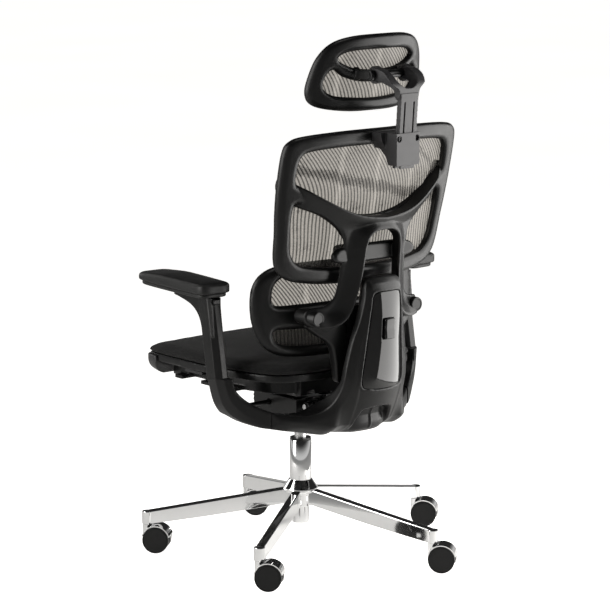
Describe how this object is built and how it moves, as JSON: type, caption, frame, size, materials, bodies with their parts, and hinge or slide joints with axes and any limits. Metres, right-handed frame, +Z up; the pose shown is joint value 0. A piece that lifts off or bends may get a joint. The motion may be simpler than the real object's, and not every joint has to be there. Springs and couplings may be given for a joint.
{
  "type": "swivel office chair",
  "caption": "High-back swivel office chair with mesh back, lumbar ring, tilting headrest, adjustable arms and a chrome star base on twin castors.",
  "frame": {"origin": "on the floor under the swivel axis", "axes": "+Z up along the swivel axis, -Y the way the sitter faces, +X the sitter's left"},
  "size_m": [0.7481, 0.7444, 1.2],
  "materials": {
    "chrome": "mirror-polished chrome plate",
    "steel": "ground steel",
    "black_plastic": "satin moulded, fine spark-eroded grain",
    "grey_plastic": "satin moulded, charcoal",
    "gloss_plastic": "piano gloss",
    "soft_pad": "soft polyurethane skin, fine leather grain",
    "wheel_plastic": "satin",
    "seat_fabric": "woven black upholstery cloth",
    "mesh_fabric": "ribbed elastic mesh, see-through"
  },
  "bodies": {
    "base": {"base_star": "chrome", "column_tube": "chrome", "guide_bush": "black_plastic"},
    "spindle": {"piston_rod": "steel", "thrust_bearing": "steel", "retaining_clip": "steel"},
    "chassis": {"gas_cylinder": "steel", "mechanism_housing": "black_plastic", "mechanism_pins": "steel", "recline_spring": "steel"},
    "lift_lever": {"lift_lever": "black_plastic"},
    "tilt_lever": {"tilt_lever": "black_plastic"},
    "tension_knob": {"tension_knob": "black_plastic"},
    "back": {"back_yoke": "black_plastic", "back_bracket": "black_plastic", "rear_panel": "gloss_plastic", "arm_bracket_left": "black_plastic", "arm_bracket_right": "black_plastic", "arm_posts": "steel"},
    "height_button": {"height_button": "gloss_plastic"},
    "seat_frame": {"seat_frame": "grey_plastic"},
    "seat": {"seat_pan": "black_plastic", "seat_trim": "grey_plastic", "seat_cushion": "seat_fabric"},
    "slide_lever": {"slide_lever": "grey_plastic"},
    "backrest": {"back_frame": "black_plastic", "back_mesh": "mesh_fabric", "back_slider": "grey_plastic", "headrest_bracket": "grey_plastic", "bracket_screws": "steel"},
    "lumbar": {"lumbar_frame": "black_plastic", "lumbar_mesh": "mesh_fabric", "lumbar_pins": "steel"},
    "headrest_post": {"headrest_post": "grey_plastic"},
    "headrest": {"headrest_frame": "black_plastic", "headrest_mesh": "mesh_fabric", "headrest_shaft": "black_plastic"},
    "arm_left": {"arm_upright_left": "black_plastic"},
    "arm_trigger_left": {"arm_trigger_left": "grey_plastic"},
    "pad_carrier_left": {"pad_carrier_left": "black_plastic"},
    "arm_pad_left": {"arm_pad_left": "soft_pad"},
    "arm_right": {"arm_upright_right": "black_plastic"},
    "arm_trigger_right": {"arm_trigger_right": "grey_plastic"},
    "pad_carrier_right": {"pad_carrier_right": "black_plastic"},
    "arm_pad_right": {"arm_pad_right": "soft_pad"},
    "castor_1": {"castor_fork_1": "chrome", "castor_pins_1": "steel"},
    "castor_wheels_1": {"castor_wheels_1": "wheel_plastic"},
    "castor_2": {"castor_fork_2": "chrome", "castor_pins_2": "steel"},
    "castor_wheels_2": {"castor_wheels_2": "wheel_plastic"},
    "castor_3": {"castor_fork_3": "chrome", "castor_pins_3": "steel"},
    "castor_wheels_3": {"castor_wheels_3": "wheel_plastic"},
    "castor_4": {"castor_fork_4": "chrome", "castor_pins_4": "steel"},
    "castor_wheels_4": {"castor_wheels_4": "wheel_plastic"},
    "castor_5": {"castor_fork_5": "chrome", "castor_pins_5": "steel"},
    "castor_wheels_5": {"castor_wheels_5": "wheel_plastic"}
  },
  "joints": [
    {"name": "seat_swivel", "type": "hinge", "parent": "base", "child": "spindle", "pos_m": [0, 0, 0.113], "axis": [0, 0, 1], "continuous": true},
    {"name": "seat_lift", "type": "slide", "parent": "spindle", "child": "chassis", "axis": [0, 0, 1], "range_m": [-0.02, 0.08]},
    {"name": "back_recline", "type": "hinge", "parent": "chassis", "child": "back", "pos_m": [0, 0.072, 0.35], "axis": [-1, 0, 0], "range_deg": [0, 20], "stiffness_Nm_per_rad": 70, "springref_deg": -34.38},
    {"name": "seat_tilt", "type": "hinge", "parent": "chassis", "child": "seat_frame", "pos_m": [0, -0.08, 0.378], "axis": [-1, 0, 0], "range_deg": [0, 7]},
    {"name": "seat_depth", "type": "slide", "parent": "seat_frame", "child": "seat", "axis": [0, -1, 0], "range_m": [0, 0.05]},
    {"name": "back_height", "type": "slide", "parent": "back", "child": "backrest", "axis": [0, 0.1392, 0.9903], "range_m": [0, 0.06]},
    {"name": "lumbar_tilt", "type": "hinge", "parent": "backrest", "child": "lumbar", "pos_m": [0, 0.134, 0.584], "axis": [1, 0, 0], "range_deg": [-2, 8]},
    {"name": "headrest_height", "type": "slide", "parent": "backrest", "child": "headrest_post", "axis": [0, 0.0785, 0.9969], "range_m": [-0.02, 0.04]},
    {"name": "headrest_tilt", "type": "hinge", "parent": "headrest_post", "child": "headrest", "pos_m": [0, 0.3, 1.115], "axis": [1, 0, 0], "range_deg": [-20, 20]},
    {"name": "arm_height_left", "type": "slide", "parent": "back", "child": "arm_left", "axis": [0, -0.165, 0.9863], "range_m": [0, 0.07]},
    {"name": "arm_height_right", "type": "slide", "parent": "back", "child": "arm_right", "axis": [0, -0.165, 0.9863], "range_m": [0, 0.07]},
    {"name": "pad_slide_left", "type": "slide", "parent": "arm_left", "child": "pad_carrier_left", "axis": [0, -1, 0], "range_m": [-0.025, 0.03]},
    {"name": "pad_slide_right", "type": "slide", "parent": "arm_right", "child": "pad_carrier_right", "axis": [0, -1, 0], "range_m": [-0.025, 0.03]},
    {"name": "pad_swivel_left", "type": "hinge", "parent": "pad_carrier_left", "child": "arm_pad_left", "pos_m": [0.281, -0.03, 0.629], "axis": [0, 0, 1], "range_deg": [-15, 20]},
    {"name": "pad_swivel_right", "type": "hinge", "parent": "pad_carrier_right", "child": "arm_pad_right", "pos_m": [-0.281, -0.03, 0.629], "axis": [0, 0, -1], "range_deg": [-15, 20]},
    {"name": "height_button_press", "type": "slide", "parent": "back", "child": "height_button", "axis": [0, -1, 0], "range_m": [0, 0.003], "stiffness_N_per_m": 500},
    {"name": "arm_trigger_left", "type": "hinge", "parent": "arm_left", "child": "arm_trigger_left", "pos_m": [0.281, 0.028, 0.615], "axis": [1, 0, 0], "range_deg": [0, 8], "stiffness_Nm_per_rad": 0.5},
    {"name": "arm_trigger_right", "type": "hinge", "parent": "arm_right", "child": "arm_trigger_right", "pos_m": [-0.281, 0.028, 0.615], "axis": [1, 0, 0], "range_deg": [0, 8], "stiffness_Nm_per_rad": 0.5},
    {"name": "lift_lever_pull", "type": "hinge", "parent": "chassis", "child": "lift_lever", "pos_m": [-0.06, -0.04, 0.346], "axis": [0, 1, 0], "range_deg": [0, 8], "stiffness_Nm_per_rad": 4, "springref_deg": -11.46},
    {"name": "tilt_lever_pull", "type": "hinge", "parent": "chassis", "child": "tilt_lever", "pos_m": [0.06, -0.04, 0.346], "axis": [0, -1, 0], "range_deg": [0, 8], "stiffness_Nm_per_rad": 4, "springref_deg": -11.46},
    {"name": "tension_turn", "type": "hinge", "parent": "chassis", "child": "tension_knob", "pos_m": [0, -0.095, 0.337], "axis": [0, 1, 0], "continuous": true},
    {"name": "slide_lever_pull", "type": "hinge", "parent": "seat", "child": "slide_lever", "pos_m": [0.195, -0.118, 0.425], "axis": [0, -1, 0], "range_deg": [0, 12], "stiffness_Nm_per_rad": 1.5, "springref_deg": -5.73},
    {"name": "castor_swivel_1", "type": "hinge", "parent": "base", "child": "castor_1", "pos_m": [0.27952, -0.21063, 0.064], "axis": [0, 0, 1], "continuous": true},
    {"name": "castor_swivel_2", "type": "hinge", "parent": "base", "child": "castor_2", "pos_m": [0.2867, 0.20075, 0.064], "axis": [0, 0, 1], "continuous": true},
    {"name": "castor_swivel_3", "type": "hinge", "parent": "base", "child": "castor_3", "pos_m": [-0.10233, 0.33471, 0.064], "axis": [0, 0, 1], "continuous": true},
    {"name": "castor_swivel_4", "type": "hinge", "parent": "base", "child": "castor_4", "pos_m": [-0.34995, 0.00611, 0.064], "axis": [0, 0, 1], "continuous": true},
    {"name": "castor_swivel_5", "type": "hinge", "parent": "base", "child": "castor_5", "pos_m": [-0.11395, -0.33093, 0.064], "axis": [0, 0, 1], "continuous": true},
    {"name": "castor_roll_1", "type": "hinge", "parent": "castor_1", "child": "castor_wheels_1", "pos_m": [0.26509, -0.19403, 0.03], "axis": [-0.7547, -0.6561, 0], "continuous": true},
    {"name": "castor_roll_2", "type": "hinge", "parent": "castor_2", "child": "castor_wheels_2", "pos_m": [0.27227, 0.21735, 0.03], "axis": [-0.7547, -0.6561, 0], "continuous": true},
    {"name": "castor_roll_3", "type": "hinge", "parent": "castor_3", "child": "castor_wheels_3", "pos_m": [-0.11676, 0.35131, 0.03], "axis": [-0.7547, -0.6561, 0], "continuous": true},
    {"name": "castor_roll_4", "type": "hinge", "parent": "castor_4", "child": "castor_wheels_4", "pos_m": [-0.36438, 0.02271, 0.03], "axis": [-0.7547, -0.6561, 0], "continuous": true},
    {"name": "castor_roll_5", "type": "hinge", "parent": "castor_5", "child": "castor_wheels_5", "pos_m": [-0.12838, -0.31433, 0.03], "axis": [-0.7547, -0.6561, 0], "continuous": true}
  ],
  "couplings": [
    {"joint": "seat_tilt", "follows": "back_recline", "ratio": 0.33}
  ]
}
